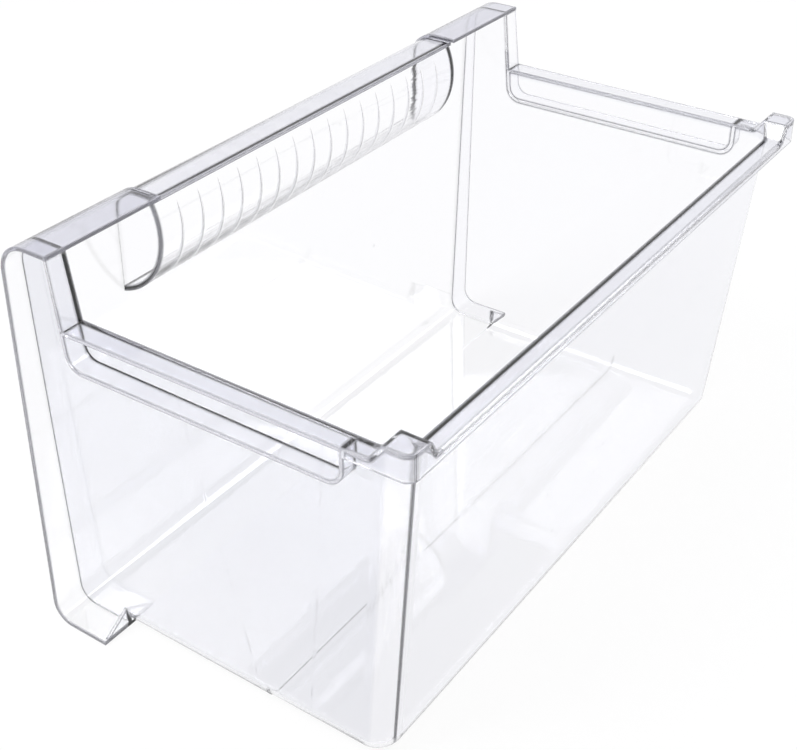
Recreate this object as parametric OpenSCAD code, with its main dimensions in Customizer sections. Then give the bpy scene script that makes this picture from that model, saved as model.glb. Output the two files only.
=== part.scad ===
// Clear freezer drawer: a drafted tub with side runners, closed at the front by a wrap-round panel
// with a ribbed finger scoop under its top flange.
// X runs across the front, the front faces -Y, +Z is up. The origin is under the drawer's middle.

/* [Front panel] */
// Width across the front panel
front_width = 440; // [380:1:560]
// Height from the foot to the top flange
height = 252; // [240:1:300]
// Depth from the front panel to the rear skirt
depth = 249; // [220:1:400]
// Thickness of the front panel, its flanges and the handle
sheet = 2.2; // [1.8:0.1:3.2]
// Outer radius of the top front edge
top_radius = 18.5; // [14:0.5:22]
// Outer radius of the bottom front edge
foot_radius = 12.5; // [8:0.5:18]
// Angle by which the front leans back
front_lean = 0.9; // [0:0.1:2]
// Depth of the top flange behind the front
flange_depth = 37.9; // [34:0.1:48]
// Depth of the foot flange behind the front
foot_depth = 39.8; // [30:0.1:56]

/* [Tub] */
// Height of the tub's rim
rim_height = 211; // [190:1:225]
// Thickness of the tub's walls, ledges and runners
wall = 2.2; // [1.6:0.1:2.8]
// Distance from the end of the front panel to the tub's side at the rim
side_inset = 12.5; // [10:0.1:24]
// Angle by which the sides draw in towards the floor
side_draft = 1.9; // [0.5:0.1:3]
// Angle by which the rear draws in towards the floor
rear_draft = 5; // [1:0.1:7]
// Outer radius between the floor and the walls
floor_radius = 12; // [6:0.5:14]
// What the upright rear corners have beyond the floor radius
corner_extra = 4; // [0.5:0.5:4]
// Height by which the rear of the floor stands above the front of it
floor_step = 0.8; // [0.4:0.1:2]
// Distance from the foot flange to the step in the floor
floor_step_reach = 103.5; // [60:0.5:120]

/* [Runners] */
// Height of the slot between the ledge's top and the runner's top
runner_drop = 20.7; // [14:0.1:30]
// Inner radius at both ends of the runner
runner_radius = 8; // [4:0.5:10]
// Angle by which the front stop leans
stop_lean = 6; // [0:0.5:10]
// Distance from the rear skirt to the front face of the riser
riser_inset = 38.4; // [34:0.1:50]
// Distance by which each side's ledge draws in towards the rear
ledge_taper = 3; // [0:0.1:5]

/* [Rear rim] */
// Width of the rear ledge behind the rear wall
rear_ledge = 9.9; // [7:0.1:16]
// Height of the skirt round the rear rim
skirt = 5.2; // [4:0.1:10]
// Outer radius of the rear rim's edge
rim_radius = 3; // [2.9:0.1:3.8]
// Height of the corner stops above the rim
stop_rise = 9.5; // [5:0.1:15]
// Length of each corner stop along the side
stop_length = 26.6; // [20:0.1:30]
// Length of the ramp up to each corner stop
ramp_length = 7.5; // [5:0.1:9]
// Length of the flank down from each corner stop to the rear rim
flank_length = 5.3; // [4:0.1:7]
// Radius at the foot of the ramp and the flank
ramp_radius = 3; // [2:0.1:3.4]
// Radius at the head of the ramp and the flank
head_radius = 1.2; // [0.6:0.1:2]
// Distance from the tub's side to the rear rim's end at each corner stop
stop_inboard = 14.8; // [9:0.1:16]
// Outer radius of each corner stop's rear corner
stop_radius = 6.5; // [4:0.1:8]

/* [Handle] */
// Length of the handle between the flange's two ends
handle_length = 284; // [200:1:340]
// Depth by which the grip bar lies below the flange
recess = 3; // [2:0.1:5]
// Outer radius of the finger scoop
scoop_radius = 43.5; // [38:0.5:48]
// Distance from the front to the back of the finger scoop
scoop_reach = 36.9; // [30:0.1:37]
// Distance from the top flange down to the scoop's axis
scoop_drop = 25; // [23:0.1:29]
// Distance from the top flange down to the edge of the bar's front lip
lip_drop = 23.5; // [23:0.1:26]
// Distance by which the bar's rear edge overhangs the scoop
bar_lip = 2; // [0.5:0.1:3]
// Number of ribs in the scoop
rib_count = 16; // [8:1:24]
// Height of each rib at its middle
rib_height = 1.3; // [0.6:0.1:3]
// Width of each rib
rib_width = 0.9; // [0.6:0.1:3]

/* [Foot gussets] */
// Height of each gusset above the foot flange
gusset_height = 10.8; // [6:0.1:20]
// Thickness of each gusset
gusset_wall = 2; // [1.2:0.1:4]
// Distance from the end of the front panel to the gusset's tip
gusset_inset = 2.5; // [1:0.1:6]

/* [Hidden] */
$fn = 96;
clear = [0.87, 0.89, 0.94, 0.45];
tinted = [0.80, 0.81, 0.89, 0.55];
// Straight pieces in each bend of an outline
bend_steps = 12;
// Angle between the points of the scoop's outline
scoop_turn = 3;
// Ends of the scoop's outline, of its upper edge and of its ribs, as turns from its axis
scoop_round = 180 / scoop_turn;
scoop_top = 5;
rib_low = -21;
rib_high = 7;
// A length past every face of the drawer, for cuts
beyond = 2 * (front_width + height + depth);

front_y = -depth / 2;
rear_y = depth / 2;
lean = tan(front_lean);
lean_sheet = sheet / cos(front_lean);
toe_y = front_y - foot_radius * (lean + 1 / cos(front_lean) - 1);
flange_y = front_y + flange_depth;
flange_low = height - sheet;
foot_y = front_y + foot_depth;

corner_radius = floor_radius + corner_extra;
side_skin = wall / cos(side_draft);
rear_skin = wall / cos(rear_draft);
rear_top_y = rear_y - rear_ledge;
step_y = foot_y + floor_step_reach;
wall_foot = floor_step + floor_radius;

runner_z = rim_height - runner_drop;
riser_y = rear_y - riser_inset;
stop_skin = wall / cos(stop_lean);
stop_y = rear_y - stop_length;

scoop_y = front_y + scoop_reach - scoop_radius;
scoop_z = height - scoop_drop;
scoop_inside = scoop_radius - sheet;
bar_z = height - recess;
bar_low = bar_z - sheet;
lip_z = height - lip_drop;
bar_half = handle_length / 2 - sheet;

// Places on the leaning faces, at height z

function front_at(z) = toe_y + z * lean;

function side_at(z) = front_width / 2 - side_inset - (rim_height - z) * tan(side_draft);

function rear_at(z) = rear_top_y - (rim_height - z) * tan(rear_draft);

function stop_at(z) = flange_y + (flange_low - z) * tan(stop_lean);

function scoop_at(r, z) = scoop_y + sqrt(pow(r, 2) - pow(z - scoop_z, 2));

function ledge_at(y) = front_width / 2 - ledge_taper * (y - front_y) / depth;

rear_floor_x = side_at(wall_foot);
rear_floor_y = rear_at(wall_foot);
corner_turn = acos(sin(side_draft) * sin(rear_draft));
stop_face = side_at(rim_height) - stop_inboard;
bar_edge = scoop_at(scoop_radius, bar_low) + bar_lip;

// Outlines

function unit(v) = v / norm(v);

function backwards(list) = [for (i = [len(list) - 1 : -1 : 0]) list[i]];

function turned(centre, r, angle) = centre + r * [cos(angle), sin(angle)];

// Arc of radius r that rounds the corner p between a and b
function bend(a, p, b, r) =
    let (u = unit(a - p), v = unit(b - p))
    let (half = acos(u * v) / 2)
    let (centre = p + unit(u + v) * r / sin(half))
    let (start = p + u * r / tan(half) - centre, stop = p + v * r / tan(half) - centre)
    let (first = atan2(start.y, start.x), sweep = atan2(cross(start, stop), start * stop))
    [for (i = [0 : bend_steps]) turned(centre, r, first + sweep * i / bend_steps)];

// Open outline through the points, with each corner rounded to its radius
function rounded(points, radii) = [
    for (i = [0 : len(points) - 1])
        each radii[i] > 0 ? bend(points[i - 1], points[i], points[i + 1], radii[i]) : [points[i]]
];

panel_outside = rounded(
    [[flange_y, height], [front_at(height), height], [front_at(0), 0], [foot_y, 0]],
    [0, top_radius, foot_radius, 0]
);
panel_inside = rounded(
    [
        [flange_y, flange_low], [front_at(flange_low) + lean_sheet, flange_low],
        [front_at(sheet) + lean_sheet, sheet], [foot_y, sheet]
    ],
    [0, top_radius - sheet, foot_radius - sheet, 0]
);

// Points of the scoop's outline at radius r, in steps of scoop_turn from first to last
function scoop_arc(r, first, last) = [
    for (i = [first : last]) turned([scoop_y, scoop_z], r, i * scoop_turn)
];

// Extrusions of an outline drawn in Y and Z, across the drawer, and of one in X and Z, along it

module across(width, middle = 0) {
    translate([middle, 0, 0])
        rotate([90, 0, 90])
            linear_extrude(width, center = true)
                children();
}

module along(first, last) {
    translate([0, last, 0])
        rotate([90, 0, 0])
            linear_extrude(last - first)
                children();
}

// Front panel and handle

module scoop_disc() {
    polygon(scoop_arc(scoop_radius, 1 - scoop_round, scoop_round));
}

module front_panel() {
    color(clear)
        difference() {
            across(front_width)
                polygon(concat(panel_outside, backwards(panel_inside)));
            across(handle_length)
                scoop_disc();
            translate([-handle_length / 2, -beyond / 2, scoop_z])
                cube([handle_length, beyond, beyond]);
        }
}

// Number of scoop steps from the axis up to the bar's underside, at radius r
function bar_turns(r) = floor(asin((bar_low - scoop_z) / r) / scoop_turn);

module grip_bar() {
    bar_radius = top_radius - recess;
    outside = rounded(
        [[front_at(lip_z), lip_z], [front_at(bar_z), bar_z], [bar_edge, bar_z]], [0, bar_radius, 0]
    );
    inside = rounded(
        [
            [front_at(lip_z) + lean_sheet, lip_z], [front_at(bar_low) + lean_sheet, bar_low],
            [scoop_at(scoop_inside, bar_low), bar_low]
        ],
        [0, bar_radius - sheet, 0]
    );
    underside = [[bar_edge, bar_low], [scoop_at(scoop_radius, bar_low), bar_low]];
    color(tinted)
        across(2 * bar_half)
            polygon(concat(
                outside, underside, backwards(scoop_arc(scoop_radius, scoop_top, bar_turns(scoop_radius))),
                scoop_arc(scoop_inside, scoop_top, bar_turns(scoop_inside)), backwards(inside)
            ));
}

module finger_scoop() {
    color(clear)
        difference() {
            across(2 * bar_half)
                polygon(concat(
                    scoop_arc(scoop_radius, -scoop_round, scoop_top),
                    backwards(scoop_arc(scoop_inside, -scoop_round, scoop_top))
                ));
            across(front_width)
                polygon([
                    [front_at(0), 0], [front_at(height), height],
                    [front_at(height) - beyond, height], [front_at(0) - beyond, 0]
                ]);
        }
}

module scoop_end(side) {
    color(clear)
        intersection() {
            across(sheet, side * (bar_half + sheet / 2))
                polygon(concat(panel_outside, [[rear_y, 0], [rear_y, height]]));
            across(sheet, side * (bar_half + sheet / 2))
                union() {
                    scoop_disc();
                    translate([front_y, bar_low])
                        square([bar_edge - front_y, height - bar_low]);
                    translate([front_y, flange_low])
                        square([flange_depth, sheet]);
                }
        }
}

module left_scoop_end() {
    scoop_end(-1);
}

module right_scoop_end() {
    scoop_end(1);
}

// The ribs swell from nothing at both ends to their full height in the middle.
module grip_ribs() {
    crest = [
        for (i = [rib_high - 1 : -1 : rib_low + 1])
            turned(
                [scoop_y, scoop_z],
                scoop_inside - rib_height * sin(180 * (i - rib_low) / (rib_high - rib_low)),
                i * scoop_turn
            )
    ];
    pitch = 2 * bar_half / (rib_count + 1);
    color(clear)
        for (i = [1 : rib_count])
            across(rib_width, i * pitch - bar_half)
                polygon(concat(scoop_arc(scoop_inside, rib_low, rib_high), crest));
}

// Tub

// Section of the floor, turned up at both sides to stand under walls whose outer faces are at x
module floor_section(x) {
    inner = x - wall;
    outside = rounded(
        [[x, floor_radius], [x, 0], [-x, 0], [-x, floor_radius]], [0, floor_radius, floor_radius, 0]
    );
    inside = rounded(
        [[inner, floor_radius], [inner, wall], [-inner, wall], [-inner, floor_radius]],
        [0, floor_radius - wall, floor_radius - wall, 0]
    );
    polygon(concat(outside, backwards(inside)));
}

// Section of the floor's turned-up edge, from a plain edge at start to an outer face at stop
module floor_edge(start, stop) {
    outside = rounded([[start, 0], [stop, 0], [stop, floor_radius]], [0, floor_radius, 0]);
    inside = rounded(
        [[start, wall], [stop - wall, wall], [stop - wall, floor_radius]], [0, floor_radius - wall, 0]
    );
    polygon(concat(outside, backwards(inside)));
}

module floor_panel() {
    color(clear)
        along(foot_y, step_y)
            floor_section(side_at(floor_radius));
}

module rear_floor_panel() {
    color(clear)
        translate([0, 0, floor_step]) {
            along(step_y, rear_floor_y - corner_radius)
                floor_section(rear_floor_x);
            across(2 * (rear_floor_x - corner_radius))
                floor_edge(step_y, rear_floor_y);
        }
}

module floor_corner() {
    color(clear)
        translate([rear_floor_x - corner_radius, rear_floor_y - corner_radius, floor_step])
            rotate_extrude(angle = 90)
                floor_edge(0, corner_radius);
}

module right_floor_corner() {
    floor_corner();
}

module left_floor_corner() {
    mirror([1, 0, 0])
        floor_corner();
}

// Frame on the axis of the right rear corner, with X square to the side wall and Z up the corner
module corner_frame() {
    translate([
        rear_floor_x - corner_radius / cos(side_draft),
        rear_floor_y - corner_radius / cos(rear_draft),
        wall_foot
    ])
        rotate([-atan(tan(rear_draft) * cos(side_draft)), side_draft, 0])
            children();
}

module rear_corner() {
    color(clear)
        intersection() {
            corner_frame()
                rotate_extrude(angle = corner_turn)
                    translate([corner_radius - wall, -corner_radius])
                        square([wall, rim_height + corner_radius]);
            translate([0, 0, wall_foot])
                cube([beyond, beyond, rim_height - wall_foot]);
        }
}

module right_rear_corner() {
    rear_corner();
}

module left_rear_corner() {
    mirror([1, 0, 0])
        rear_corner();
}

module side_wall() {
    outline = concat(panel_inside, [
        [foot_y, floor_radius], [step_y, floor_radius], [step_y, wall_foot],
        [rear_y, wall_foot], [rear_y, rim_height], [stop_at(rim_height), rim_height]
    ]);
    color(clear)
        difference() {
            intersection() {
                along(front_y, rear_y)
                    polygon([
                        [side_at(0), 0], [side_at(height), height],
                        [side_at(height) - side_skin, height], [side_at(0) - side_skin, 0]
                    ]);
                across(beyond)
                    polygon(outline);
            }
            corner_frame()
                translate([-beyond / 2, 0, -beyond / 2])
                    cube(beyond);
        }
}

module right_side_wall() {
    side_wall();
}

module left_side_wall() {
    mirror([1, 0, 0])
        side_wall();
}

module rear_wall() {
    color(clear)
        difference() {
            across(front_width)
                polygon([
                    [rear_floor_y, wall_foot], [rear_top_y, rim_height],
                    [rear_top_y - rear_skin, rim_height], [rear_floor_y - rear_skin, wall_foot]
                ]);
            for (side = [0, 1])
                mirror([side, 0, 0])
                    corner_frame()
                        rotate([0, 0, corner_turn])
                            translate([-beyond / 2, -beyond, -beyond / 2])
                                cube(beyond);
        }
}

// Runners and ledges, outside the right side wall

// Space beside the tub, out to the ledge's edge less an inset
module beside_tub(inset = 0) {
    intersection() {
        along(front_y, rear_y)
            polygon([
                [side_at(0), 0], [front_width, 0], [front_width, height], [side_at(height), height]
            ]);
        linear_extrude(height)
            polygon([
                [0, front_y], [ledge_at(front_y) - inset, front_y],
                [ledge_at(rear_y) - inset, rear_y], [0, rear_y]
            ]);
    }
}

module rim_ledge() {
    low = rim_height - wall;
    color(tinted)
        intersection() {
            beside_tub();
            across(beyond)
                polygon([
                    [stop_at(rim_height), rim_height], [riser_y, rim_height],
                    [riser_y, low], [stop_at(low), low]
                ]);
        }
}

module right_rim_ledge() {
    rim_ledge();
}

module left_rim_ledge() {
    mirror([1, 0, 0])
        rim_ledge();
}

// Front stop, runner and riser in one bent strip, below the ledge
module runner() {
    low = runner_z - wall;
    slot = rounded(
        [
            [stop_at(flange_low), flange_low], [stop_at(runner_z), runner_z],
            [riser_y, runner_z], [riser_y, rim_height]
        ],
        [0, runner_radius, runner_radius, 0]
    );
    back = rounded(
        [
            [stop_at(flange_low) - stop_skin, flange_low], [stop_at(low) - stop_skin, low],
            [riser_y + wall, low], [riser_y + wall, rim_height]
        ],
        [0, runner_radius + wall, runner_radius + wall, 0]
    );
    color(clear)
        intersection() {
            beside_tub();
            across(beyond)
                polygon(concat(slot, backwards(back)));
        }
}

module right_runner() {
    runner();
}

module left_runner() {
    mirror([1, 0, 0])
        runner();
}

// Ledge with its skirt, between the riser and the corner stop
module rear_ledge_side() {
    first = riser_y + wall;
    color(tinted)
        difference() {
            intersection() {
                beside_tub();
                translate([0, first, rim_height - skirt])
                    cube([beyond, stop_y - first, skirt]);
            }
            intersection() {
                beside_tub(wall);
                translate([0, front_y, 0])
                    cube([beyond, depth, rim_height - wall]);
            }
        }
}

module right_rear_ledge() {
    rear_ledge_side();
}

module left_rear_ledge() {
    mirror([1, 0, 0])
        rear_ledge_side();
}

// Rear rim and corner stops

module rear_rim() {
    low = rim_height - wall;
    outside = rounded(
        [[rear_top_y, rim_height], [rear_y, rim_height], [rear_y, rim_height - skirt]], [0, rim_radius, 0]
    );
    inside = rounded(
        [[rear_at(low), low], [rear_y - wall, low], [rear_y - wall, rim_height - skirt]],
        [0, rim_radius - wall, 0]
    );
    color(tinted)
        across(2 * stop_face)
            polygon(concat(outside, backwards(inside)));
}

// Plan of the right corner stop, drawn in by an inset. An inset plan runs out past both open ends.
module stop_plan(inset) {
    share = 1 - inset / wall;
    r = corner_radius - wall * share;
    centre = [side_at(rim_height) - side_skin * share - r, rear_top_y - rear_skin * share - r];
    face = stop_face - inset;
    back = rear_y - inset;
    front = stop_y - inset;
    arc_end = face > centre.x ? acos((face - centre.x) / r) : 90;
    side_arc = [for (i = [0 : bend_steps]) turned(centre, r, arc_end * i / bend_steps)];
    rear_run = face > centre.x ? [] : [[face, centre.y + r]];
    outer_corner = [ledge_at(back) - inset, back];
    outer_front = [ledge_at(front) - inset, front];
    polygon(concat(
        [[centre.x + r, front]], side_arc, rear_run, [[face, back]],
        bend([face, back], outer_corner, outer_front, stop_radius - inset), [outer_front]
    ));
}

// Rise from the rim to the top of a corner stop, from an end at start to one at stop, with a slope
// of that length. It is lowered square to its top face by an inset.
module stop_rise_outline(start, stop, slope_length, inset) {
    slope = atan(stop_rise / slope_length);
    shift = inset * tan(slope / 2);
    foot = start + 2 * ramp_radius * tan(slope / 2) + shift;
    top = rim_height - inset;
    head = top + stop_rise;
    line = rounded(
        [[start - inset, top], [foot, top], [foot + slope_length, head], [stop, head]],
        [0, ramp_radius + inset, max(head_radius - inset, 0), 0]
    );
    low = rim_height - skirt - inset;
    polygon(concat(line, [[stop, low], [start - inset, low]]));
}

module stop_block(inset) {
    intersection() {
        linear_extrude(beyond)
            stop_plan(inset);
        across(beyond)
            stop_rise_outline(stop_y, rear_y, ramp_length, inset);
        along(-beyond, beyond)
            stop_rise_outline(stop_face, front_width / 2, flank_length, inset);
    }
}

module rear_stop() {
    corner = [side_at(rim_height), rear_top_y];
    color(clear)
        difference() {
            stop_block(0);
            stop_block(wall);
            linear_extrude(rim_height)
                polygon(concat(
                    [[0, front_y], [corner.x, front_y]],
                    bend([corner.x, front_y], corner, [0, corner.y], corner_radius),
                    [[0, corner.y]]
                ));
        }
}

module right_rear_stop() {
    rear_stop();
}

module left_rear_stop() {
    mirror([1, 0, 0])
        rear_stop();
}

// Foot gussets

module foot_gusset() {
    peak = sheet + gusset_height;
    color(tinted)
        along(foot_y - gusset_wall, foot_y)
            polygon([
                [side_at(sheet), sheet], [side_at(peak), peak], [front_width / 2 - gusset_inset, sheet]
            ]);
}

module right_foot_gusset() {
    foot_gusset();
}

module left_foot_gusset() {
    mirror([1, 0, 0])
        foot_gusset();
}

front_panel();
grip_bar();
finger_scoop();
left_scoop_end();
right_scoop_end();
grip_ribs();
floor_panel();
rear_floor_panel();
left_floor_corner();
right_floor_corner();
left_side_wall();
right_side_wall();
rear_wall();
left_rear_corner();
right_rear_corner();
left_rim_ledge();
right_rim_ledge();
left_runner();
right_runner();
left_rear_ledge();
right_rear_ledge();
rear_rim();
left_rear_stop();
right_rear_stop();
left_foot_gusset();
right_foot_gusset();
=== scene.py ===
"""Clear freezer drawer on a pale floor, seen from behind its right rear corner."""

import math

import bmesh
import bpy
from mathutils import Matrix, Vector


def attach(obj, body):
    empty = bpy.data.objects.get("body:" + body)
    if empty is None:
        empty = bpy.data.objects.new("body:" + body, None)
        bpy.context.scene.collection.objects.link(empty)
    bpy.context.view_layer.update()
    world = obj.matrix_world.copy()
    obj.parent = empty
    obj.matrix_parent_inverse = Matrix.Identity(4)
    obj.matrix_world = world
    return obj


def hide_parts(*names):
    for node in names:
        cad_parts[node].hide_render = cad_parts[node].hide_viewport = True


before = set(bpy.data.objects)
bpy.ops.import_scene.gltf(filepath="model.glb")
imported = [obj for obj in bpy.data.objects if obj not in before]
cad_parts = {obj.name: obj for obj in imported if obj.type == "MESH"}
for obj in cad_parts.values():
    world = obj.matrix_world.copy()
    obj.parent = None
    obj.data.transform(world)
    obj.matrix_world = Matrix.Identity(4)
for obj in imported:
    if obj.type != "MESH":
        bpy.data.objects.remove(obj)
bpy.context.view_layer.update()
scene = bpy.context.scene

FRONT_MOULDING = [
    "front_panel", "grip_bar", "finger_scoop", "left_scoop_end", "right_scoop_end", "grip_ribs",
]
TUB_MOULDING = [name for name in sorted(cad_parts) if name not in FRONT_MOULDING]


# Skins: the solids of each moulding, joined into one closed surface

# How far each copy is swollen, so that neighbours lap before they are joined
LAP = 4e-6
# Most by which a sharp corner multiplies that
MOST_LAP = 4
# Triangles within the first angle are one flat facet, and facets within the second are one bend
FLAT = math.cos(math.radians(0.2))
BEND = math.cos(math.radians(11))
# A facet below this share of the largest one at a corner doesn't turn the shading there
SMALL_FACET = 0.4


def welded_copy(node):
    """A closed copy of a CAD node, with its doubled corners joined."""
    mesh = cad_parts[node].data.copy()
    mesh.materials.clear()
    bm = bmesh.new()
    bm.from_mesh(mesh)
    bmesh.ops.remove_doubles(bm, verts=bm.verts, dist=1e-6)
    bmesh.ops.recalc_face_normals(bm, faces=bm.faces)
    bm.normal_update()
    for vert in bm.verts:
        vert.co += vert.normal * min(vert.calc_shell_factor(), MOST_LAP) * LAP
    bm.to_mesh(mesh)
    bm.free()
    copy = bpy.data.objects.new(node + "_copy", mesh)
    scene.collection.objects.link(copy)
    return copy


def moulding(name, members):
    """One closed skin round several CAD nodes that meet face to face."""
    copies = [welded_copy(node) for node in members]
    base = copies[0]
    for other in copies[1:]:
        union = base.modifiers.new("union", "BOOLEAN")
        union.operation = "UNION"
        union.solver = "MANIFOLD"
        union.object = other
    graph = bpy.context.evaluated_depsgraph_get()
    mesh = bpy.data.meshes.new_from_object(base.evaluated_get(graph))
    for copy in copies:
        bpy.data.objects.remove(copy)
    mesh.name = name
    skin = bpy.data.objects.new(name, mesh)
    scene.collection.objects.link(skin)
    return skin


def facets_of(mesh):
    """For each triangle, the normal of the flat facet it belongs to, as long as the facet's area."""
    group = list(range(len(mesh.polygons)))

    def leader(face):
        while group[face] != face:
            group[face] = group[group[face]]
            face = group[face]
        return face

    owner = {}
    for face in mesh.polygons:
        for key in face.edge_keys:
            if key in owner and owner[key].normal.dot(face.normal) > FLAT:
                group[leader(face.index)] = leader(owner[key].index)
            owner[key] = face
    sums = {}
    for face in mesh.polygons:
        first = leader(face.index)
        sums[first] = sums.get(first, Vector()) + face.normal * face.area
    return [sums[leader(face.index)] for face in mesh.polygons]


def smooth_bends(mesh):
    """Shade the bends smooth and keep every flat face flat up to its edges."""
    mesh.shade_smooth()
    for edge in mesh.edges:
        edge.use_edge_sharp = True
    facets = facets_of(mesh)
    around = [[] for _ in mesh.vertices]
    for face in mesh.polygons:
        facet = facets[face.index]
        for vert in face.vertices:
            if facet.length > 0 and facet not in around[vert]:
                around[vert].append(facet)
    normals = []
    for face in mesh.polygons:
        for vert in face.vertices:
            near = [f for f in around[vert] if f.normalized().dot(face.normal) > BEND]
            largest = max((f.length for f in near), default=0)
            total = sum((f for f in near if f.length > SMALL_FACET * largest), Vector())
            normals.append(total.normalized() if near else face.normal.copy())
    mesh.normals_split_custom_set(normals)


# Clear plastic

class Nodes:
    """Short calls for building a node tree."""

    def __init__(self, tree):
        self.tree = tree
        tree.nodes.clear()

    def add(self, kind, **settings):
        node = self.tree.nodes.new(kind)
        for key, value in settings.items():
            setattr(node, key, value)
        return node

    def link(self, out, into):
        self.tree.links.new(out, into)

    def math(self, operation, first, second=None, clamp=False):
        node = self.add("ShaderNodeMath", operation=operation, use_clamp=clamp)
        for socket, value in zip(node.inputs, (first, second)):
            if isinstance(value, (int, float)):
                socket.default_value = value
            elif value is not None:
                self.link(value, socket)
        return node.outputs[0]

    def step(self, value, low, high):
        """0 below low, 1 above high, smooth between."""
        node = self.add("ShaderNodeMapRange", interpolation_type="SMOOTHSTEP")
        self.link(value, node.inputs["Value"])
        node.inputs["From Min"].default_value = low
        node.inputs["From Max"].default_value = high
        return node.outputs["Result"]

    def noise(self, place, scale, detail=2.0, stretch=(1, 1, 1)):
        mapping = self.add("ShaderNodeMapping")
        mapping.inputs["Scale"].default_value = stretch
        self.link(place, mapping.inputs["Vector"])
        node = self.add("ShaderNodeTexNoise")
        node.inputs["Scale"].default_value = scale
        node.inputs["Detail"].default_value = detail
        self.link(mapping.outputs["Vector"], node.inputs["Vector"])
        return node.outputs["Fac"]

    def blend(self, share, first, second):
        node = self.add("ShaderNodeMix", data_type="VECTOR")
        self.link(share, node.inputs["Factor"])
        self.link(first, node.inputs["A"])
        self.link(second, node.inputs["B"])
        return node.outputs["Result"]

    def mix(self, share, first, second):
        node = self.add("ShaderNodeMix", data_type="RGBA")
        self.link(share, node.inputs["Factor"])
        for socket, value in ((node.inputs["A"], first), (node.inputs["B"], second)):
            if isinstance(value, tuple):
                socket.default_value = value
            else:
                self.link(value, socket)
        return node.outputs["Result"]


POLYSTYRENE_IOR = 1.585
INNER_COLOUR, INNER_DENSITY = (0.55, 0.55, 0.66, 1), 10
# Pairs give where a mask begins and where it is full. Places are in metres, normals have length 1.
FACING_SO = (0.9, 0.98)
# X of the strips outside the walls, Y of the rear wall, and heights over which the walls' tint grows
OUTSIDE_WALLS = (0.2095, 0.2115)
REAR_WALL = (0.07, 0.08)
WALL_RISE = (0, 0.15)
# Shares of the sides' tint at the foot of the side walls and on the rear wall
FOOT_TINT, REAR_TINT = 0.65, 0.35
# Distance over which the rim's tint fades, and how far its lower edge wanders
RIM_FADE, RIM_CLOUD = 0.003, 0.002
# Faint upright flow marks in each side wall: Y at the foot and Y at this height
FLOW_MARKS = [(0.016, -0.024), (0.048, 0.069)]
MARK_HEIGHT = 0.2
MARK_WANDER, MARK_WIDTH, MARK_GAPS = 0.004, (0.0002, 0.0009), (0.42, 0.58)
# Specks lie in cells, and only some of the surface has them
SPECK_SCALE, SPECK_SIZE, SPECK_AREAS = 55, (0.035, 0.075), (0.56, 0.62)
SCUFF_STRETCH, SCUFFS = (0.12, 1, 0.5), (0.62, 0.8)
# Rounding of the edges, how deep the plastic is searched for them, and what counts as one
EDGE_RADIUS, EDGE_DEPTH, NOT_EDGE = 0.001, 0.0016, (0.68, 0.92)
# Heights above the floor, and X of the foot flange's ends
FLOOR_TOP, FOOT_ENDS = (0.003, 0.006), (0.201, 0.2025)
# X past the ribs, Y behind the scoop and heights above the ribs
RIB_ENDS, SCOOP_BACK, RIB_TOP = (0.1365, 0.138), (-0.087, -0.086), (0.2435, 0.2445)
# Heights above the rear stops
UPPER = (0.222, 0.226)
# Normals' X in the painted dark bands of shade on the bends, as rise and fall, and normals' Y or -Z
# there
CORNER_RISE, CORNER_FALL, CORNER_FACES = (0.26, 0.32), (0.38, 0.44), (0.8, 0.9)
BOTTOM_RISE, BOTTOM_FALL, BOTTOM_FACES = (0.58, 0.66), (0.74, 0.82), (0.5, 0.6)
# Colours that cover the tint, and shares of them: wear, painted grey shade on the edges, painted dark
# shade in the bends
WORN_COLOUR = (0.8, 0.8, 0.84, 1)
EDGE_SHADE_COLOUR, EDGE_SHADE_COVER, EDGE_SHADE_DULL = (0.3, 0.3, 0.345, 1), 0.85, 0.7
BEND_SHADE_COLOUR, BEND_SHADE_COVER, BOTTOM_SHADE_COVER = (0.06, 0.06, 0.07, 1), 0.92, 0.5


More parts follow.
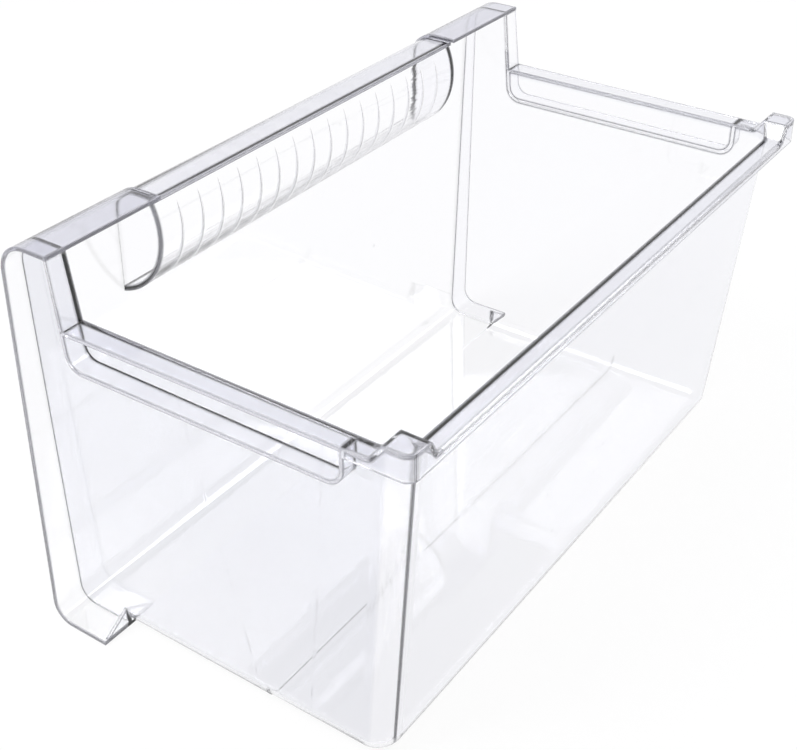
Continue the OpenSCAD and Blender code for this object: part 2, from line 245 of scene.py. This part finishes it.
def clear_plastic(name, body, sides, rim, upper_edge_shade):
    """Clear polystyrene: its body, outer sides and rim differ in tint, and it is scuffed by use.
    Painted shade greys its edges and darkens its bends.

    The last argument is the share of painted grey shade on the edges above the rear stops.
    """
    material = bpy.data.materials.new(name)
    material.use_nodes = True
    n = Nodes(material.node_tree)
    output = n.add("ShaderNodeOutputMaterial")
    shader = n.add("ShaderNodeBsdfPrincipled")
    shader.inputs["IOR"].default_value = POLYSTYRENE_IOR
    inside = n.add("ShaderNodeVolumeAbsorption")
    inside.inputs["Color"].default_value = INNER_COLOUR
    inside.inputs["Density"].default_value = INNER_DENSITY

    place = n.add("ShaderNodeTexCoord").outputs["Object"]
    split = n.add("ShaderNodeSeparateXYZ")
    n.link(place, split.inputs["Vector"])
    facing = n.add("ShaderNodeSeparateXYZ")
    normal = n.add("ShaderNodeNewGeometry").outputs["Normal"]
    n.link(normal, facing.inputs["Vector"])
    back, height = split.outputs["Y"], split.outputs["Z"]
    reach = n.math("ABSOLUTE", split.outputs["X"])

    # Outer faces of the walls are tinted. The rim is denser, with a cloudy edge below it.
    cloud = n.math("MULTIPLY", n.math("SUBTRACT", n.noise(place, 60, 3), 0.5), RIM_CLOUD)
    outward = n.math("MULTIPLY", n.math("SIGN", split.outputs["X"]), facing.outputs["X"])
    sideways = n.step(outward, *FACING_SO)
    sideways = n.math("SUBTRACT", sideways, n.step(reach, *OUTSIDE_WALLS), clamp=True)
    rising = n.math("MULTIPLY", n.step(height, *WALL_RISE), 1 - FOOT_TINT)
    side_share = n.math("MULTIPLY", sideways, n.math("ADD", rising, FOOT_TINT))
    rearward = n.math("MULTIPLY", n.step(facing.outputs["Y"], *FACING_SO), n.step(back, *REAR_WALL))
    walls = n.math("MAXIMUM", side_share, n.math("MULTIPLY", rearward, REAR_TINT))
    low, high, front, colour = rim
    level = n.math("ADD", height, cloud)
    top = n.math("SUBTRACT", n.step(level, low, low + RIM_FADE), n.step(level, high, high + RIM_FADE))
    top = n.math("MULTIPLY", top, n.step(back, front - RIM_FADE, front))
    tint = n.mix(top, n.mix(walls, body, sides), colour)

    # Flow marks up the side walls
    wander = n.math("MULTIPLY", n.math("SUBTRACT", n.noise(place, 30, 2), 0.5), MARK_WANDER)
    marks = None
    for foot, head in FLOW_MARKS:
        line = n.math("ADD", n.math("MULTIPLY", height, (head - foot) / MARK_HEIGHT), foot)
        gap = n.math("ABSOLUTE", n.math("SUBTRACT", n.math("ADD", back, wander), line))
        mark = n.math("SUBTRACT", 1, n.step(gap, *MARK_WIDTH))
        marks = mark if marks is None else n.math("MAXIMUM", marks, mark)
    broken = n.step(n.noise(place, 90, 2), *MARK_GAPS)
    marks = n.math("MULTIPLY", n.math("MULTIPLY", marks, sideways), broken)

    # Specks and short scuffs from use
    cells = n.add("ShaderNodeTexVoronoi", feature="F1")
    cells.inputs["Scale"].default_value = SPECK_SCALE
    n.link(place, cells.inputs["Vector"])
    speck = n.math("SUBTRACT", 1, n.step(cells.outputs["Distance"], *SPECK_SIZE))
    sparse = n.step(n.noise(place, 14, 1), *SPECK_AREAS)
    specks = n.math("MULTIPLY", speck, sparse)
    scuff = n.step(n.noise(place, 260, 2, SCUFF_STRETCH), *SCUFFS)
    worn = n.math("MAXIMUM", specks, n.math("MULTIPLY", marks, 0.8))

    # Moulded edges get painted grey shade, but not those of the floor and of the scoop's ribs. The
    # bends of the rear corners and of the bottom edges get painted dark bands of shade.
    edges = n.add("ShaderNodeBevel", samples=4)
    edges.inputs["Radius"].default_value = EDGE_RADIUS
    depth = n.add("ShaderNodeAmbientOcclusion", samples=6, inside=True, only_local=True)
    depth.inputs["Distance"].default_value = EDGE_DEPTH
    above_floor = n.math("MAXIMUM", n.step(height, *FLOOR_TOP), n.step(reach, *FOOT_ENDS))
    edge = n.math("SUBTRACT", 1, n.step(depth.outputs["AO"], *NOT_EDGE))
    edge = n.math("MULTIPLY", edge, above_floor)
    past_ribs = n.math("MAXIMUM", n.step(reach, *RIB_ENDS), n.step(back, *SCOOP_BACK))
    past_ribs = n.math("MAXIMUM", past_ribs, n.step(height, *RIB_TOP))
    edge = n.math("MULTIPLY", edge, past_ribs)
    upper = n.math("MULTIPLY", n.step(height, *UPPER), 1 - upper_edge_shade)
    edge = n.math("MULTIPLY", edge, n.math("SUBTRACT", 1, upper))
    # Painted dark shade in bands along the bends of the rear corners and of the bottom edges
    across = n.math("ABSOLUTE", facing.outputs["X"])
    down = n.math("MULTIPLY", facing.outputs["Z"], -1)
    corner_shade = n.math("SUBTRACT", n.step(across, *CORNER_RISE), n.step(across, *CORNER_FALL))
    corner_shade = n.math("MULTIPLY", corner_shade, n.step(facing.outputs["Y"], *CORNER_FACES))
    bottom_shade = n.math("SUBTRACT", n.step(across, *BOTTOM_RISE), n.step(across, *BOTTOM_FALL))
    bottom_shade = n.math("MULTIPLY", bottom_shade, n.step(down, *BOTTOM_FACES))
    bend_shade = n.math("MAXIMUM", corner_shade, n.math("MULTIPLY", bottom_shade, BOTTOM_SHADE_COVER), clamp=True)

    colour = n.mix(worn, tint, WORN_COLOUR)
    # Painted grey shade on the edges, which also dulls their clearness
    colour = n.mix(n.math("MULTIPLY", edge, EDGE_SHADE_COVER), colour, EDGE_SHADE_COLOUR)
    colour = n.mix(n.math("MULTIPLY", bend_shade, BEND_SHADE_COVER), colour, BEND_SHADE_COLOUR)
    n.link(colour, shader.inputs["Base Color"])
    clearness = n.math("SUBTRACT", 1, n.math("MULTIPLY", edge, EDGE_SHADE_DULL))
    n.link(clearness, shader.inputs["Transmission Weight"])
    rough = n.math("ADD", n.math("MULTIPLY", scuff, 0.06), 0.02)
    rough = n.math("ADD", rough, n.math("MULTIPLY", top, 0.06))
    rough = n.math("ADD", rough, n.math("MULTIPLY", worn, 0.2), clamp=True)
    n.link(rough, shader.inputs["Roughness"])

    # A slight wave in the walls, and the marks' own relief
    wave = n.math("MULTIPLY", n.noise(place, 22, 2, (1, 1, 0.5)), 0.4)
    relief = n.math("ADD", wave, n.math("MULTIPLY", worn, 0.6))
    bump = n.add("ShaderNodeBump")
    bump.inputs["Strength"].default_value = 0.12
    bump.inputs["Distance"].default_value = 0.0004
    n.link(relief, bump.inputs["Height"])
    n.link(n.blend(above_floor, normal, edges.outputs["Normal"]), bump.inputs["Normal"])
    n.link(bump.outputs["Normal"], shader.inputs["Normal"])

    n.link(shader.outputs["BSDF"], output.inputs["Surface"])
    n.link(inside.outputs["Volume"], output.inputs["Volume"])
    return material


# The rim is its lowest and highest Z, its foremost Y and its tint
front_plastic = clear_plastic(
    "clear_front",
    body=(0.99, 0.99, 1, 1),
    sides=(0.975, 0.975, 0.99, 1),
    rim=(0.2465, 0.3, -1, (0.74, 0.74, 0.81, 1)),
    upper_edge_shade=1,
)
tub_plastic = clear_plastic(
    "clear_tub",
    body=(0.98, 0.98, 0.995, 1),
    sides=(0.85, 0.856, 0.892, 1),
    rim=(0.2055, 0.2215, -0.0815, (0.905, 0.908, 0.945, 1)),
    upper_edge_shade=0.4,
)

for name, members, plastic in [
    ("front_moulding", FRONT_MOULDING, front_plastic), ("tub_moulding", TUB_MOULDING, tub_plastic),
]:
    skin = moulding(name, members)
    skin.data.materials.clear()
    skin.data.materials.append(plastic)
    smooth_bends(skin.data)
    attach(skin, "root")
    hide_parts(*members)


# Camera at the photograph's viewing angle

camera_data = bpy.data.cameras.new("camera")
camera = bpy.data.objects.new("camera", camera_data)
scene.collection.objects.link(camera)
scene.camera = camera
forward = Vector((-0.7072, -0.4897, -0.5099)).normalized()
right = Vector((-0.5688, 0.8225, -0.0011))
right = (right - forward * right.dot(forward)).normalized()
up = right.cross(forward)
eye = Vector((0.6011, 0.3876, 0.5752))
camera.matrix_world = Matrix((
    (right.x, up.x, -forward.x, eye.x),
    (right.y, up.y, -forward.y, eye.y),
    (right.z, up.z, -forward.z, eye.z),
    (0, 0, 0, 1),
))
camera_data.sensor_width = 36
camera_data.lens = 62.97
camera_data.shift_x = -0.0094
camera_data.shift_y = -0.097


# Floor, light and world

def seen_directly(n):
    """1 for rays that the camera sends out, also by way of gloss or clear plastic."""
    path = n.add("ShaderNodeLightPath")
    seen = n.math("MAXIMUM", path.outputs["Is Camera Ray"], path.outputs["Is Glossy Ray"])
    return n.math("MAXIMUM", seen, path.outputs["Is Transmission Ray"])


def floor_material():
    """White paper that keeps a soft shadow."""
    material = bpy.data.materials.new("pale_floor")
    material.use_nodes = True
    n = Nodes(material.node_tree)
    output = n.add("ShaderNodeOutputMaterial")
    shader = n.add("ShaderNodeBsdfPrincipled")
    shader.inputs["Base Color"].default_value = (0.9, 0.9, 0.9, 1)
    shader.inputs["Roughness"].default_value = 0.9
    glow = n.add("ShaderNodeEmission")
    mix = n.add("ShaderNodeMixShader")
    n.link(n.math("MULTIPLY", seen_directly(n), 0.92), mix.inputs["Fac"])
    n.link(shader.outputs["BSDF"], mix.inputs[1])
    n.link(glow.outputs["Emission"], mix.inputs[2])
    n.link(mix.outputs["Shader"], output.inputs["Surface"])
    return material


floor_mesh = bpy.data.meshes.new("floor")
bm = bmesh.new()
bmesh.ops.create_grid(bm, x_segments=1, y_segments=1, size=6)
bm.to_mesh(floor_mesh)
bm.free()
floor = bpy.data.objects.new("floor", floor_mesh)
floor.location.z = -0.0008
floor.data.materials.append(floor_material())
scene.collection.objects.link(floor)

# White all round, grey overhead
world = bpy.data.worlds.new("studio")
scene.world = world
world.use_nodes = True
n = Nodes(world.node_tree)
output = n.add("ShaderNodeOutputWorld")
background = n.add("ShaderNodeBackground")
split = n.add("ShaderNodeSeparateXYZ")
n.link(n.add("ShaderNodeTexCoord").outputs["Generated"], split.inputs["Vector"])
overhead = n.step(split.outputs["Z"], 0.6, 0.76)
studio = n.mix(overhead, (1, 1, 1, 1), (0.6, 0.6, 0.62, 1))
path = n.add("ShaderNodeLightPath")
colour = n.mix(path.outputs["Is Camera Ray"], studio, (1, 1, 1, 1))
n.link(colour, background.inputs["Color"])
n.link(background.outputs["Background"], output.inputs["Surface"])


def softbox(name, place, target, size, power):
    data = bpy.data.lights.new(name, "AREA")
    data.shape = "RECTANGLE"
    data.size, data.size_y = size
    data.energy = power
    lamp = bpy.data.objects.new(name, data)
    lamp.location = place
    lamp.rotation_euler = (Vector(target) - Vector(place)).to_track_quat("-Z", "Y").to_euler()
    scene.collection.objects.link(lamp)


softbox("key", (0.9, -0.6, 1.5), (0, 0, 0.1), (0.9, 0.9), 22)
softbox("fill", (-1.1, 0.9, 1.2), (0, 0, 0.1), (0.8, 0.8), 10)

scene.view_settings.view_transform = "Standard"
